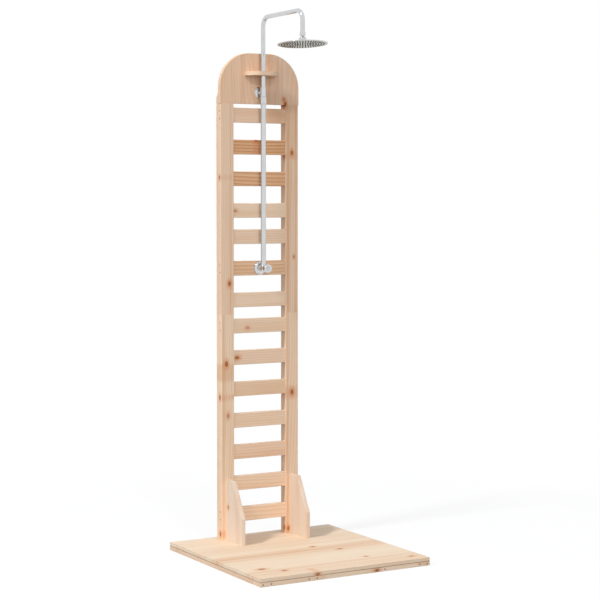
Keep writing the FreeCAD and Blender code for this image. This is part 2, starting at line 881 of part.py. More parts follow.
def make_head():
    ball_line = ball_radius / math.sin(cone_angle) + seat_gap
    throat = neck_radius + throat_gap
    cavity = hub_cavity_radius
    collar = turned_ring([
        (bore(hub_thread_radius + turning_gap), collar_bottom),
        (collar_radius, collar_bottom),
        (collar_radius, collar_shoulder),
        (collar_top_radius, collar_top),
        (bore(throat), collar_top),
        (bore(throat), ball_line - throat),
        (bore(cavity), ball_line - cavity),
        (bore(hub_thread_radius + turning_gap), ball_line - cavity),
    ])
    save("swivel_collar", tilted_head(collar))
    rim_top = head_underside + head_rim_height
    face_top = head_underside + face_thickness
    roof = head_root_height - head_wall
    shell = turned_ring([
        (head_radius, head_underside),
        (head_radius, rim_top),
        (hub_radius, head_root_height),
        (hub_radius, collar_bottom - seat_gap),
        (hub_thread_radius, collar_bottom - seat_gap),
        (hub_thread_radius, hub_thread_top),
        (bore(cavity, head_sides), hub_thread_top),
        (bore(cavity, head_sides), hub_floor),
        (bore(hub_water_radius, head_sides), hub_floor),
        (bore(hub_water_radius, head_sides), roof),
        (bore(hub_radius, head_sides), roof),
        (bore(face_ledge_radius, head_sides), face_top + face_fit_gap),
        (bore(face_radius, head_sides), face_top + face_fit_gap),
        (bore(face_radius, head_sides), head_underside),
    ], head_sides)
    save("head_shell", tilted_head(shell))
    seat_depth = ball_line - cavity + seat_gap
    seat_outside = cavity - turning_gap
    seat = turned_ring([
        (bore(hub_water_radius), hub_floor),
        (seat_outside, hub_floor),
        (seat_outside, -seat_depth),
        (bore(ball_line - seat_depth), -seat_depth),
        (bore(hub_water_radius), hub_water_radius - ball_line),
    ])
    save("ball_seat", tilted_head(seat))
    edge = face_radius - face_fit_gap
    face = turned([(edge, head_underside), (edge, face_top)], head_sides)
    save("spray_face", tilted_head(face))
    save("nozzles", *[tilted_head(nozzle) for nozzle in make_nozzles()])


def make_nozzles():
    """Soft nozzles in rings under the spray face, one more step of them in each ring."""
    nub = turned([(nozzle_tip_radius, head_underside - nozzle_length),
                  (nozzle_root_radius, head_underside)], nozzle_sides)
    nozzles = [nub]
    for ring in range(1, nozzle_rings + 1):
        count = nozzle_ring_step * ring
        radius = nozzle_ring_spacing * ring
        for index in range(count):
            angle = 2 * math.pi * index / count
            place = Vector(radius * math.cos(angle), radius * math.sin(angle), 0)
            nozzles.append(placed(nub, place, UP))
    return nozzles


# ---------------------------------------------------------------- the whole post
def main():
    os.makedirs("parts", exist_ok=True)
    rung_set, rung_holes = rung_screws()
    frame_set, frame_holes = frame_screws(frame_batten_centres())
    stand_set, stand_holes = stand_screws()
    head_set, head_holes = head_screws()
    holes = rung_holes + frame_holes + stand_holes + head_holes
    save("rung_screws", *rung_set)
    save("frame_screws", *frame_set)
    save("stand_screws", *stand_set)
    save("head_screws", *head_set)
    save("post_joint_tenons", joint_tenon(-1, 0), joint_tenon(1, 0))
    make_deck(holes)
    make_frame(holes)
    make_posts(holes)
    make_rungs(holes)
    make_head_board(holes)
    make_shelf(holes)
    make_gussets(holes)
    make_valve_body()
    make_valve_trim()
    make_valve_control()
    make_riser()
    make_bracket()
    make_arm()
    make_swivel()
    make_head()


main()
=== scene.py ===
import math

import bmesh
import bpy
from mathutils import Matrix, Vector


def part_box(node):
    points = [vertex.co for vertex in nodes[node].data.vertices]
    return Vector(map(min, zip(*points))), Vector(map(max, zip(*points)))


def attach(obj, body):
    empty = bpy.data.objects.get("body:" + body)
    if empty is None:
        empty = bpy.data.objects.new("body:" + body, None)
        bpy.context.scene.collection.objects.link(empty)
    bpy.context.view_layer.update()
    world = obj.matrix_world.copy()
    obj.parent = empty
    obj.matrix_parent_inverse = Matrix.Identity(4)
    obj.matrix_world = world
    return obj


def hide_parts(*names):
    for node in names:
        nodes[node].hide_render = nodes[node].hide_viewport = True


# Outdoor shower post, dressed: sanded pine boards with their grain and knots, and
# polished chrome fittings. Metres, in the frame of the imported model: X runs across the
# panel, Y runs backwards, Z runs up, and the origin is under the deck's centre.

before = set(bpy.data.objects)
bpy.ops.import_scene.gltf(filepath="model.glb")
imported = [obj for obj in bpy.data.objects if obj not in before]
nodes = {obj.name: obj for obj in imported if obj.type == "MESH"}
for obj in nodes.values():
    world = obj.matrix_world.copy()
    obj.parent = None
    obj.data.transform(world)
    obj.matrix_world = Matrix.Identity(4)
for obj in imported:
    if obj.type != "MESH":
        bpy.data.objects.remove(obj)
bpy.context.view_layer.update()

MM = 0.001
BACK = Vector((0, 1, 0))
FRONT = Vector((0, -1, 0))
UP = Vector((0, 0, 1))

# ---------------------------------------------------------------- sizes of the fittings
# Millimetres and radians. An outline is a row of (radius, height) points.
TURNED_SIDES = 96
PIPE_SIDES = 64
FIT_GAP = 0.1
RISER_RADIUS = 11.0
PIPE_RADIUS = 9.5
PIPE_BORE = 8.5
ARM_BEND_RADIUS = 41.0
BEND_STEPS = 24
ARM_END_IN_NUT = 3
VALVE_BODY_RADIUS = 13.5
VALVE_BODY_EDGE = 1.5
BOSS_RADIUS = 12.6
BOSS_HEIGHT = 16.0
INLET_RADIUS = 10.48
THREAD_PITCH = 1.814
THREAD_DEPTH = 1.1
THREAD_END = 20.0
NECK_RADIUS = 6.5
NECK_GROOVE_RADIUS = 6.1
KNOB_RADIUS = 17.5
KNOB_FRONT_EDGE = 3.0
KNOB_BACK_EDGE = 2.0
ROSETTE_RADIUS = 29.0
ROSETTE_RIM = 2.6
ROSETTE_DOME_HEIGHT = 9.2
ROSETTE_DOME_WIDTH = 13.9
ROSETTE_DOME_STEPS = 12
LOCK_NUT_RADIUS = 14.0
SMALL_EDGE = 0.8
SLEEVE_RADIUS = 11.5
STEM_RADIUS = 7.5
FLANGE_RADIUS = 25.0
FLANGE_DOME_START = 2.1
FLANGE_DOME_HEIGHT = 4.6
FLANGE_DOME_STEPS = 8
HEAD_RADIUS = 100.0
HUB_RADIUS = 15.0
BALL_RADIUS = 8.5
BALL_TIP_ANGLE = 0.25
BALL_NECK_RADIUS = 5.0
BALL_NECK_FILLET = 0.6
HEAD_TILT = math.radians(4)
COLLAR_FOOT = ((12.6, -5.2), (15.0, -5.2), (15.5, -4.7), (15.5, -1.6), (15.1, -1.2),
               (15.5, -0.8))
COLLAR_BORE = ((7.5, 7.5), (7.5, 4.9), (9.3, 3.1), (12.6, 3.1))
NOZZLE_OUTLINE = ((2.4, 0.0), (2.4, 0.35), (2.0, 0.6), (1.7, 1.5), (1.4, 1.85), (0.8, 1.9),
                  (0.6, 1.0), (0, 1.0))
NOZZLE_SEAT = -21.35
NOZZLE_RINGS = 8
NOZZLE_RING_SPACING = 10.5
NOZZLE_RING_STEP = 6
NOZZLE_SIDES = 12
SCREW_HEAD_RADIUS = 4.1
SCREW_RECESS_DEPTH = 1.6
SCREW_SINK = 0.8
SCREW_TURN = 37.0
SCREW_SIDES = 40
SCREW_FLOOR_SIDES = 24
CROSS_REACH = 0.52
CROSS_HALF_WIDTH = 0.13

# Metres and radians: how the boards' edges are eased, and limits for mesh work.
EASED_RADIUS = 0.0018
DECK_EASED_RADIUS = 0.003
EASED_EDGE_LENGTH = 0.0045
EASED_SEGMENTS = 3
FLAT_ANGLE = math.radians(1)
CORNER_ANGLE = math.radians(60)
SHARP_ANGLE = math.radians(32)
WELD_DISTANCE = 1e-6
END_DEPTH = 1e-4

# ---------------------------------------------------------------- camera and light
IMAGE_SIZE = 600
CAMERA_PLACE = Vector((-3.2994, -5.7246, 1.4275))
CAMERA_AZIMUTH = math.radians(30.059)
CAMERA_PITCH = math.radians(2.723)
CAMERA_SHIFT_PIXELS = -20
FOCAL_PIXELS = 1663.5
SENSOR_WIDTH = 36.0
CAMERA_REACH = 100


def srgb(red, green, blue):
    """A colour given as it shows on a screen, 0 to 255, as linear RGBA."""
    linear = []
    for value in (red, green, blue):
        share = value / 255
        if share <= 0.04045:
            linear.append(share / 12.92)
        else:
            linear.append(((share + 0.055) / 1.055) ** 2.4)
    return (*linear, 1.0)


# ---------------------------------------------------------------- material graphs
class Graph:
    """Short names for the nodes of one material."""

    def __init__(self, name):
        self.material = bpy.data.materials.new(name)
        self.material.use_nodes = True
        self.tree = self.material.node_tree
        self.shader = self.tree.nodes["Principled BSDF"]

    @classmethod
    def of_tree(cls, tree):
        """The same short names for a tree without a material, such as the world's."""
        graph = cls.__new__(cls)
        graph.tree = tree
        return graph

    def node(self, kind, **settings):
        made = self.tree.nodes.new(kind)
        for key, value in settings.items():
            setattr(made, key, value)
        return made

    def feed(self, socket, value):
        if isinstance(value, bpy.types.NodeSocket):
            self.tree.links.new(value, socket)
        else:
            socket.default_value = value

    def math(self, operation, *values):
        made = self.node("ShaderNodeMath", operation=operation)
        for socket, value in zip(made.inputs, values):
            self.feed(socket, value)
        return made.outputs[0]

    def vector_math(self, operation, *values):
        made = self.node("ShaderNodeVectorMath", operation=operation)
        for socket, value in zip(made.inputs, values):
            self.feed(socket, value)
        return made.outputs["Value" if operation == "LENGTH" else "Vector"]

    def place(self):
        """Position on the object, in metres of the row frame."""
        return self.node("ShaderNodeTexCoord").outputs["Object"]

    def split(self, vector):
        made = self.node("ShaderNodeSeparateXYZ")
        self.feed(made.inputs[0], vector)
        return dict(zip("XYZ", made.outputs))

    def join(self, x, y, z):
        made = self.node("ShaderNodeCombineXYZ")
        for socket, value in zip(made.inputs, (x, y, z)):
            self.feed(socket, value)
        return made.outputs[0]

    def noise(self, vector, stretch, seed, detail=2.0):
        """Noise from 0 to 1, whose grains per metre along each axis are given."""
        made = self.node("ShaderNodeTexNoise", noise_dimensions="4D")
        self.feed(made.inputs["Vector"], self.vector_math("MULTIPLY", vector, stretch))
        self.feed(made.inputs["W"], seed)
        made.inputs["Scale"].default_value = 1.0
        made.inputs["Detail"].default_value = detail
        return made.outputs["Fac"]

    def smooth(self, value, low, high, to_low=0.0, to_high=1.0):
        made = self.node("ShaderNodeMapRange", interpolation_type="SMOOTHSTEP")
        for socket, entry in zip(made.inputs, (value, low, high, to_low, to_high)):
            self.feed(socket, entry)
        return made.outputs[0]

    def ramp(self, factor, stops):
        """Float ramp through (place, grey) stops."""
        made = self.node("ShaderNodeValToRGB")
        elements = made.color_ramp.elements
        while len(elements) < len(stops):
            elements.new(0.5)
        for element, (place, grey) in zip(elements, stops):
            element.position = place
            element.color = (grey, grey, grey, 1.0)
        self.feed(made.inputs[0], factor)
        return made.outputs[0]

    def mix(self, factor, first, second):
        made = self.node("ShaderNodeMix", data_type="RGBA")
        self.feed(made.inputs[0], factor)
        self.feed(made.inputs[6], first)
        self.feed(made.inputs[7], second)
        return made.outputs[2]

    def bump(self, height, strength, distance):
        made = self.node("ShaderNodeBump")
        made.inputs["Strength"].default_value = strength
        made.inputs["Distance"].default_value = distance
        self.feed(made.inputs["Height"], height)
        self.feed(self.shader.inputs["Normal"], made.outputs[0])


# ---------------------------------------------------------------- pine
PALE = (srgb(238, 210, 183), srgb(219, 176, 139))
CREAM = (srgb(241, 216, 189), srgb(225, 186, 150))
GOLDEN = (srgb(242, 225, 201), srgb(230, 199, 163))
MILKY = (srgb(231, 214, 196), srgb(216, 188, 160))
PINK = (srgb(237, 206, 178), srgb(217, 171, 138))
ORANGE = (srgb(233, 196, 162), srgb(208, 156, 115))
BROWN = (srgb(231, 189, 150), srgb(192, 132, 88))
STRIPED = (srgb(226, 180, 137), srgb(176, 114, 70))
WARM = srgb(211, 154, 106)
KNOT_CORE = srgb(168, 98, 58)
KNOT_RIM = srgb(98, 50, 32)
KNOT_HALO = srgb(216, 146, 96)
RESIN_RED = srgb(205, 128, 88)
# Painted shade: a dark band on the deck boards' sides at their bottom edges, in the groove against
# the frame where shade falls.
SEAM_PAINTED_SHADE = ("Z", 0.0164, 0.0190, 0.0003, srgb(126, 74, 50), 0.85)
RING_WIDTH = 0.0052
RUNG_RING_WIDTH = 0.009
BROAD_RING_WIDTH = 0.014
RING_STOPS = ((0.0, 0.0), (0.42, 0.08), (0.80, 0.75), (0.93, 1.0), (1.0, 0.0))
FIBRE_STRETCH = (620.0, 620.0, 16.0)
STREAK_STRETCH = (26.0, 26.0, 1.5)
WAVE_STRETCH = (7.0, 7.0, 1.9)
KNOT_LENGTHENING = 0.62
KNOT_PULL_REACH = 2.1
STRIP_SHIFT = 0.3
STRIP_WARMTH = 0.28
STRIP_SEAM_WIDTH = 0.0007
STRIP_SEAM_STRENGTH = 0.35
HEART_ACROSS = 0.03
HEART_DEPTH = 0.055
HEART_DEPTH_SPREAD = 0.02
HEART_LEAN = 0.016
RING_WAVE = 0.030
FIBRE_STRENGTH = 0.16
PINE_IOR = 1.45
PINE_SPECULAR = 0.35
PINE_ROUGHNESS = (0.50, 0.66)
PINE_BUMP = 0.35
PINE_BUMP_HEIGHT = 0.0004


def pine(name, along, across, seed, tone, knots=(), patches=(), strip_width=0.0,
         contrast=0.55, streak=0.30, ring_width=RING_WIDTH):
    """Solid pine whose grain runs along one axis of the row frame.

    A knot is (axis that it runs along, point, radius, strength). A patch is (axis, low,
    high, softness, colour, strength) and tints a stretch of the board. With a strip
    width the board is glued up from strips of different wood.
    """
    graph = Graph(name)
    light, late = tone
    depth = ({"X", "Y", "Z"} - {along, across}).pop()
    where = graph.split(graph.place())
    grain_across = where[across]
    grain_depth = where[depth]
    grain_along = where[along]
    marks = []
    for axis, point, radius, strength in knots:
        offset = graph.vector_math("SUBTRACT", graph.place(), point)
        squeeze = [0.0 if letter == axis else (KNOT_LENGTHENING if letter == along else 1.0)
                   for letter in "XYZ"]
        flat = graph.vector_math("MULTIPLY", offset, squeeze)
        reach = graph.vector_math("LENGTH", flat)
        share = graph.math("DIVIDE", reach, KNOT_PULL_REACH * radius)
        pull = graph.math("EXPONENT", graph.math("MULTIPLY", share,
                                                 graph.math("MULTIPLY", share, -1.0)))
        sideways = across if axis == depth else depth
        shift = graph.math("MULTIPLY", graph.split(offset)[sideways], pull)
        if sideways == across:
            grain_across = graph.math("SUBTRACT", grain_across, shift)
        else:
            grain_depth = graph.math("SUBTRACT", grain_depth, shift)
        marks.append((reach, radius, strength))
    tone_shift = 0.0
    if strip_width:
        strip = graph.math("FLOOR", graph.math("DIVIDE", where[across], strip_width))
        pick = graph.node("ShaderNodeTexWhiteNoise", noise_dimensions="1D")
        graph.feed(pick.inputs["W"], graph.math("ADD", strip, seed))
        tone_shift = pick.outputs["Value"]
        grain_depth = graph.math("ADD", grain_depth,
                                 graph.math("MULTIPLY", tone_shift, STRIP_SHIFT))
    board = graph.join(grain_across, grain_depth, grain_along)
    wave = graph.noise(board, WAVE_STRETCH, seed, 1.5)
    streaks = graph.noise(board, STREAK_STRETCH, seed + 7.3, 3.0)
    fibre = graph.noise(board, FIBRE_STRETCH, seed + 3.1, 2.0)
    # the seed places the heart of the trunk, about which the rings run
    heart_across = HEART_ACROSS * math.sin(seed * 2.7)
    heart_depth = HEART_DEPTH + HEART_DEPTH_SPREAD * math.cos(seed * 1.9)
    lean = HEART_LEAN * math.sin(seed * 4.1)
    from_across = graph.math("SUBTRACT", grain_across, heart_across)
    drift = graph.math("MULTIPLY_ADD", grain_along, lean, heart_depth)
    from_depth = graph.math("SUBTRACT", grain_depth, drift)
    from_heart = graph.vector_math("LENGTH", graph.join(from_across, from_depth, 0.0))
    waved = graph.math("MULTIPLY_ADD", wave, RING_WAVE, from_heart)
    rings = graph.ramp(graph.math("FRACT", graph.math("DIVIDE", waved, ring_width)), RING_STOPS)
    ring_share = graph.math("MULTIPLY", rings, contrast)
    colour = graph.mix(ring_share, light, late)
    colour = graph.mix(graph.smooth(streaks, 0.42, 0.72, 0.0, streak), colour, WARM)
    colour = graph.mix(graph.smooth(fibre, 0.35, 0.75, 0.0, FIBRE_STRENGTH), colour, late)
    if strip_width:
        colour = graph.mix(graph.math("MULTIPLY", tone_shift, STRIP_WARMTH), colour, WARM)
        edge = graph.math("PINGPONG", where[across], strip_width / 2)
        seam = graph.smooth(graph.math("ABSOLUTE", edge), 0.0, STRIP_SEAM_WIDTH,
                            STRIP_SEAM_STRENGTH, 0.0)
        colour = graph.mix(seam, colour, KNOT_RIM)
    for axis, low, high, softness, tint, strength in patches:
        rise = graph.smooth(where[axis], low - softness, low + softness)
        fall = graph.smooth(where[axis], high - softness, high + softness, 1.0, 0.0)
        share = graph.math("MULTIPLY", graph.math("MULTIPLY", rise, fall),
                           graph.smooth(streaks, 0.2, 0.7, 0.6 * strength, strength))
        colour = graph.mix(share, colour, tint)
    # a knot's halo, core and dark rim, in shares of its radius
    for reach, radius, strength in marks:
        ragged = graph.math("MULTIPLY_ADD", wave, 0.5 * radius,
                            graph.math("SUBTRACT", reach, 0.25 * radius))
        halo = graph.smooth(ragged, 0.8 * radius, 3.6 * radius, 0.85 * strength, 0.0)
        colour = graph.mix(halo, colour, KNOT_HALO)
        core = graph.smooth(ragged, 0.7 * radius, 1.2 * radius, strength, 0.0)
        colour = graph.mix(core, colour, KNOT_CORE)
        rim = graph.math("MULTIPLY", graph.smooth(ragged, 0.55 * radius, 0.85 * radius),
                         graph.smooth(ragged, 0.90 * radius, 1.20 * radius, 0.7 * strength, 0.0))
        colour = graph.mix(rim, colour, KNOT_RIM)
    graph.feed(graph.shader.inputs["Base Color"], colour)
    graph.feed(graph.shader.inputs["Roughness"], graph.smooth(fibre, 0.2, 0.8, *PINE_ROUGHNESS))
    graph.shader.inputs["IOR"].default_value = PINE_IOR
    graph.shader.inputs["Specular IOR Level"].default_value = PINE_SPECULAR
    graph.bump(graph.math("MULTIPLY_ADD", rings, 0.6, fibre), PINE_BUMP, PINE_BUMP_HEIGHT)
    return graph.material


# ---------------------------------------------------------------- metal, rubber, plastic
SMEAR_STRETCH = (34.0, 34.0, 20.0)
SMEAR_SHADE = 0.93
METAL_BUMP_HEIGHT = 0.0002
PLATE_METALLIC = 0.60
GRAIN_SHADE = 0.82
GRAIN_ROUGHNESS = 0.06
GRAIN_BUMP = 0.10
GRAIN_BUMP_HEIGHT = 0.0001


def metal(name, colour, low_roughness, high_roughness, seed, brushed=(90.0, 90.0, 90.0),
          bump=0.02):
    """Metal with the faint smears and polish marks of a used surface."""
    graph = Graph(name)
    smears = graph.noise(graph.place(), SMEAR_STRETCH, seed, 3.0)
    marks = graph.noise(graph.place(), brushed, seed + 1.7, 2.0)
    graph.shader.inputs["Metallic"].default_value = 1.0
    tint = tuple(SMEAR_SHADE * value for value in colour[:3]) + (1.0,)
    graph.feed(graph.shader.inputs["Base Color"],
               graph.mix(graph.smooth(smears, 0.35, 0.75), colour, tint))
    graph.feed(graph.shader.inputs["Roughness"],
               graph.smooth(smears, 0.3, 0.75, low_roughness, high_roughness))
    graph.bump(marks, bump, METAL_BUMP_HEIGHT)
    return graph.material


def moulded(name, colour, roughness, seed, grain=900.0):
    """Rubber or plastic with a fine moulded grain."""
    graph = Graph(name)
    grains = graph.noise(graph.place(), (grain, grain, grain), seed, 2.0)
    shade = tuple(GRAIN_SHADE * value for value in colour[:3]) + (1.0,)
    graph.feed(graph.shader.inputs["Base Color"],
               graph.mix(graph.smooth(grains, 0.3, 0.7), colour, shade))
    graph.feed(graph.shader.inputs["Roughness"],
               graph.smooth(grains, 0.2, 0.8, roughness - GRAIN_ROUGHNESS,
                            roughness + GRAIN_ROUGHNESS))
    graph.bump(grains, GRAIN_BUMP, GRAIN_BUMP_HEIGHT)
    return graph.material


def dress(node, material):
    """Gives a carried-over node its material."""
    mesh = nodes[node].data
    mesh.materials.clear()
    mesh.materials.append(material)


# ---------------------------------------------------------------- wood
# Metres: where the faces lie that carry knots.
PANEL_FACE = 0.307
RUNG_FACE = 0.309
DECK_TOP = 0.032
DECK_FRONT = -0.386


def eased(node, material, radius=EASED_RADIUS):
    """The board with its edges eased by sanding, in place of the sharp one."""
    mesh = bmesh.new()
    mesh.from_mesh(nodes[node].data)
    bmesh.ops.remove_doubles(mesh, verts=mesh.verts, dist=WELD_DISTANCE)
    bmesh.ops.dissolve_limit(mesh, angle_limit=FLAT_ANGLE, verts=mesh.verts,
                             edges=mesh.edges)
    outer = [edge for edge in mesh.edges if edge.is_manifold
             and edge.calc_length() > EASED_EDGE_LENGTH
             and edge.calc_face_angle_signed() > CORNER_ANGLE]
    made = bmesh.ops.bevel(mesh, geom=outer, offset=radius, segments=EASED_SEGMENTS,
                           profile=0.5, affect="EDGES", clamp_overlap=True)
    for face in made["faces"]:
        face.smooth = True
    data = bpy.data.meshes.new(node + "_eased")
    mesh.to_mesh(data)
    mesh.free()
    data.materials.append(material)
    piece = bpy.data.objects.new(node + "_eased", data)
    bpy.context.scene.collection.objects.link(piece)
    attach(piece, "stand")
    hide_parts(node)


def dress_wood():
    """Every board gets its own piece of wood; the knots are where the photograph has them."""
    posts = {
        "post_lower_left": (1.3, CREAM, (
            ("Y", (-0.157, PANEL_FACE, 0.759), 0.0060, 0.9),
            ("Y", (-0.150, PANEL_FACE, 0.545), 0.0060, 0.45),
            ("X", (-0.181, 0.319, 0.621), 0.0050, 0.9),
            ("X", (-0.181, 0.317, 0.057), 0.0050, 0.9),
        ), (("Z", 0.689, 0.759, 0.012, WARM, 0.45),
            ("X", -0.176, -0.166, 0.003, WARM, 0.35))),
        "post_upper_left": (2.9, PALE, (
            ("Y", (-0.142, PANEL_FACE, 1.089), 0.0055, 0.9),
            ("X", (-0.181, 0.319, 1.523), 0.0045, 0.85),
        ), (("X", -0.140, -0.132, 0.003, WARM, 0.35),)),
        "post_lower_right": (5.2, PALE, (
            ("Y", (0.152, PANEL_FACE, 0.627), 0.0060, 0.9),
            ("X", (0.1215, 0.318, 0.055), 0.0050, 0.8),
            ("Y", (0.1346, PANEL_FACE, 0.052), 0.0050, 0.8),
        ), (("Z", 0.600, 0.650, 0.015, RESIN_RED, 0.35),
            ("X", 0.127, 0.136, 0.003, WARM, 0.45))),
        "post_upper_right": (7.7, PALE, (
            ("Y", (0.152, PANEL_FACE, 1.627), 0.0055, 0.85),
            ("Y", (0.1205, PANEL_FACE, 1.829), 0.0055, 1.0),
            ("X", (0.121, 0.320, 1.612), 0.0050, 0.8),
            ("Y", (0.162, PANEL_FACE, 1.194), 0.0040, 0.5),
        ), (("Z", 1.800, 1.840, 0.020, RESIN_RED, 0.30),
            ("Z", 1.640, 1.990, 0.060, WARM, 0.30),
            ("X", 0.166, 0.175, 0.003, WARM, 0.55),
            ("X", 0.127, 0.139, 0.004, WARM, 0.50))),
    }
    for node, (seed, tone, knots, patches) in posts.items():
        eased(node, pine("wood_" + node, "Z", "X", seed, tone, knots, patches))
    rung_tones = (PINK, STRIPED, BROWN, CREAM, PALE, ORANGE, CREAM,
                  CREAM, PALE, CREAM, PALE, PINK, PALE, PALE)
    rung_knots = {
        2: (("Y", (-0.015, RUNG_FACE, 1.675), 0.0055, 0.9),),
        4: (("Y", (-0.115, RUNG_FACE, 1.387), 0.0050, 0.45),),
        8: (("Y", (-0.058, RUNG_FACE, 0.905), 0.0050, 0.45),),
        9: (("Y", (-0.107, RUNG_FACE, 0.783), 0.0060, 0.85),),
    }
    rung_patches = {
        1: (("X", 0.030, 0.125, 0.020, WARM, 0.45),),
        2: (("X", -0.030, 0.0, 0.008, RESIN_RED, 0.40),),
        10: (("X", -0.125, 0.125, 0.010, WARM, 0.30),),
    }
    for number, tone in enumerate(rung_tones, 1):
        node = "rung_%02d" % number
        broad = tone in (STRIPED, BROWN, ORANGE)
        eased(node, pine("wood_" + node, "X", "Z", 11.0 + 1.37 * number, tone,
                         rung_knots.get(number, ()), rung_patches.get(number, ()),
                         contrast=0.85 if broad else 0.5,
                         ring_width=BROAD_RING_WIDTH if broad else RUNG_RING_WIDTH))
    eased("head_board", pine("wood_head_board", "Z", "X", 31.0, PINK, (
        ("Y", (0.1135, PANEL_FACE, 1.847), 0.0050, 0.7),
        ("Y", (0.1205, PANEL_FACE, 1.829), 0.0055, 1.0),
    ), (("X", 0.035, 0.052, 0.006, WARM, 0.35),), strip_width=0.044, contrast=0.42))
    eased("shelf", pine("wood_shelf", "X", "Y", 33.5, PALE))
    eased("gusset_left", pine("wood_gusset_left", "Z", "Y", 35.1, MILKY, (
        ("X", (-0.1605, 0.2875, 0.171), 0.0040, 0.9),)))
    eased("gusset_right", pine("wood_gusset_right", "Z", "Y", 37.9, MILKY))
    # The deck boards carry painted shade along the groove at their bottom edges.
    deck = {
        "deck_board_1": (41.0, GOLDEN, (), (SEAM_PAINTED_SHADE,)),
        "deck_board_2": (43.2, GOLDEN, (
            ("Z", (0.082, 0.017, DECK_TOP), 0.0055, 0.8),
        ), (("Y", -0.056, 0.013, 0.018, WARM, 0.30), ("Y", -0.043, -0.029, 0.004, WARM, 0.35),
            SEAM_PAINTED_SHADE)),
        "deck_board_3": (45.7, GOLDEN, (
            ("Z", (0.154, -0.074, DECK_TOP), 0.0060, 0.8),
            ("Z", (0.171, -0.246, DECK_TOP), 0.0045, 0.8),
            ("Z", (-0.295, -0.243, DECK_TOP), 0.0085, 0.7),
            ("Z", (-0.231, -0.305, DECK_TOP), 0.0055, 0.9),
        ), (("Y", -0.085, -0.056, 0.015, WARM, 0.30), ("Y", -0.295, -0.281, 0.004, WARM, 0.25),
            SEAM_PAINTED_SHADE)),
        "deck_board_4": (48.1, GOLDEN, (
            ("Z", (0.328, -0.331, DECK_TOP), 0.0050, 0.85),
            ("Y", (-0.132, DECK_FRONT, 0.0226), 0.0050, 0.7),
        ), (SEAM_PAINTED_SHADE,)),
    }
    for node, (seed, tone, knots, patches) in deck.items():
        eased(node, pine("wood_" + node, "X", "Y", seed, tone, knots, patches,
                         strip_width=0.066, streak=0.14, contrast=0.5,
                         ring_width=BROAD_RING_WIDTH), DECK_EASED_RADIUS)
    eased("frame_rail_front", pine("wood_frame_rail_front", "X", "Y", 51.0, CREAM, (
        ("Y", (0.133, DECK_FRONT, 0.008), 0.0055, 0.85),)), DECK_EASED_RADIUS)
    eased("frame_rail_rear", pine("wood_frame_rail_rear", "X", "Y", 52.6, PALE),
          DECK_EASED_RADIUS)
    for number in range(1, 5):
        node = "frame_batten_%d" % number
        eased(node, pine("wood_" + node, "Y", "X", 54.0 + 1.9 * number, PALE),
              DECK_EASED_RADIUS)
    dress("post_joint_tenons", pine("wood_post_joint_tenons", "Z", "X", 63.0, PALE))


# ---------------------------------------------------------------- mesh helpers
def arc(centre, radius, start, end, steps=8):
    """Outline points on an arc about (radius, height), angles in degrees."""
    points = []
    for step in range(steps + 1):
        angle = math.radians(start + (end - start) * step / steps)
        points.append((centre[0] + radius * math.cos(angle),
                       centre[1] + radius * math.sin(angle)))
    return points


def facing(origin, direction):
    """Matrix that lays a piece's own Z along direction at origin."""
    return Matrix.Translation(origin) @ UP.rotation_difference(direction).to_matrix().to_4x4()


def skin_rings(rings, closed):
    """Mesh through rings of points in metres; a ring of one point closes to a tip."""
    mesh = bmesh.new()
    made = [[mesh.verts.new(point) for point in ring] for ring in rings]
    pairs = list(zip(made, made[1:]))
    if closed:
        pairs.append((made[-1], made[0]))
    for first, second in pairs:
        count = max(len(first), len(second))
        for index in range(count):
            corners = [first[index % len(first)], first[(index + 1) % len(first)],
                       second[(index + 1) % len(second)], second[index % len(second)]]
            distinct = list(dict.fromkeys(corners))
            if len(distinct) > 2:
                mesh.faces.new(distinct)
    return mesh


def turned_mesh(outline, closed, sides=TURNED_SIDES):
    """Mesh turned about Z from an outline in millimetres."""
    rings = []
    for radius, height in outline:
        if radius < WELD_DISTANCE:
            rings.append([Vector((0, 0, height * MM))])
            continue
        ring = []
        for index in range(sides):
            angle = 2 * math.pi * index / sides
            ring.append(Vector((radius * math.cos(angle), radius * math.sin(angle), height)) * MM)
        rings.append(ring)
    return skin_rings(rings, closed)


def finished(name, meshes, material, body, replaced, matrix=None):
    """One smooth object made of the given meshes, riding on a body for the nodes it replaces."""
    whole = bmesh.new()
    for mesh in meshes:
        part = bpy.data.meshes.new(name + "_part")
        mesh.to_mesh(part)
        mesh.free()
        whole.from_mesh(part)
        bpy.data.meshes.remove(part)
    if matrix is not None:
        bmesh.ops.transform(whole, matrix=matrix, verts=whole.verts)
    bmesh.ops.recalc_face_normals(whole, faces=whole.faces)
    data = bpy.data.meshes.new(name)
    whole.to_mesh(data)
    whole.free()
    for polygon in data.polygons:
        polygon.use_smooth = True
    data.set_sharp_from_angle(angle=SHARP_ANGLE)
    data.materials.append(material)
    piece = bpy.data.objects.new(name, data)
    bpy.context.scene.collection.objects.link(piece)
    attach(piece, body)
    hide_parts(*replaced)


def turned(name, outline, material, body, replaced, matrix, closed=False):
    """One object turned from an outline in millimetres."""
    finished(name, [turned_mesh(outline, closed)], material, body, replaced, matrix)


def moved(mesh, matrix):
    """The mesh itself, after the move."""
    bmesh.ops.transform(mesh, matrix=matrix, verts=mesh.verts)
    return mesh


def solids_of(node):
    """The points of each separate solid in a node."""
    mesh = bmesh.new()
    mesh.from_mesh(nodes[node].data)
    bmesh.ops.remove_doubles(mesh, verts=mesh.verts, dist=WELD_DISTANCE)
    groups = []
    seen = set()
    for start in mesh.verts:
        if start in seen:
            continue
        seen.add(start)
        stack = [start]
        points = []
        while stack:
            vertex = stack.pop()
            points.append(vertex.co.copy())
            for edge in vertex.link_edges:
                other = edge.other_vert(vertex)
                if other not in seen:
                    seen.add(other)
                    stack.append(other)
        groups.append(points)
    mesh.free()
    return groups


# ---------------------------------------------------------------- column
def middle_of(node):
    """Middle of a CAD node's box, in metres."""
    low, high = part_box(node)
    return (low + high) / 2


